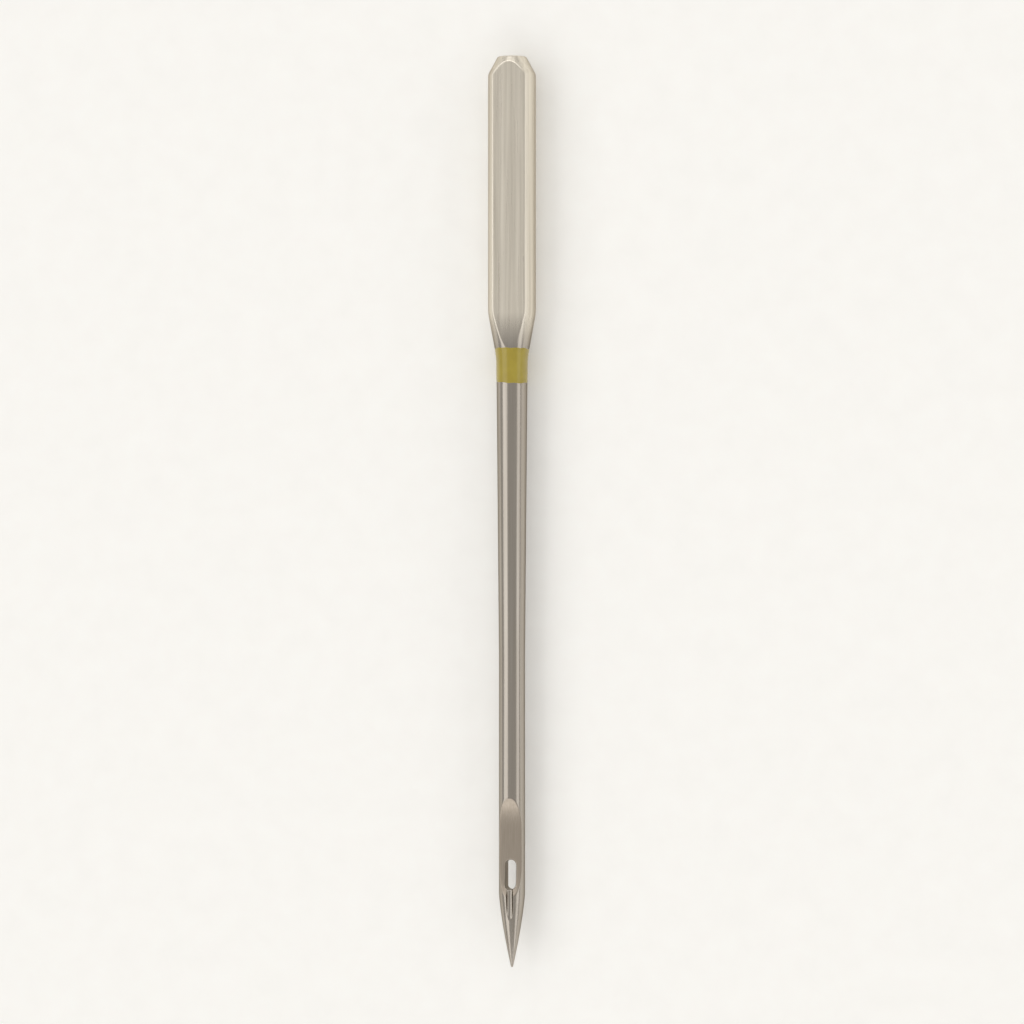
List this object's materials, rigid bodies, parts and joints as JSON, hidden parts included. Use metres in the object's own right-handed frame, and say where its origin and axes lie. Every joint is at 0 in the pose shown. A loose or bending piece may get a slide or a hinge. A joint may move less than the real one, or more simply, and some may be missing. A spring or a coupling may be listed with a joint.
{
  "type": "sewing machine needle",
  "caption": "Straight flat-shank needle for a household sewing machine, with a strengthened blade, long front groove, scarf, slotted eye and slim point.",
  "frame": {"origin": "centre of the butt's end face, on the axis of the shank", "axes": "+Y out of the butt along the shank, so the tip points to -Y; +Z out of the shank's flat, the side of the scarf; the long groove faces -Z"},
  "size_m": [0.002, 0.0384, 0.0017],
  "materials": {
    "plated_steel": "nickel plate: satin on the ground shank, polished on the blade",
    "band_paint": "glossy mustard paint, a coat about 0.01 mm thick round the end of the shoulder that marks the size"
  },
  "bodies": {
    "root": {"needle": "plated_steel"}
  },
  "joints": []
}
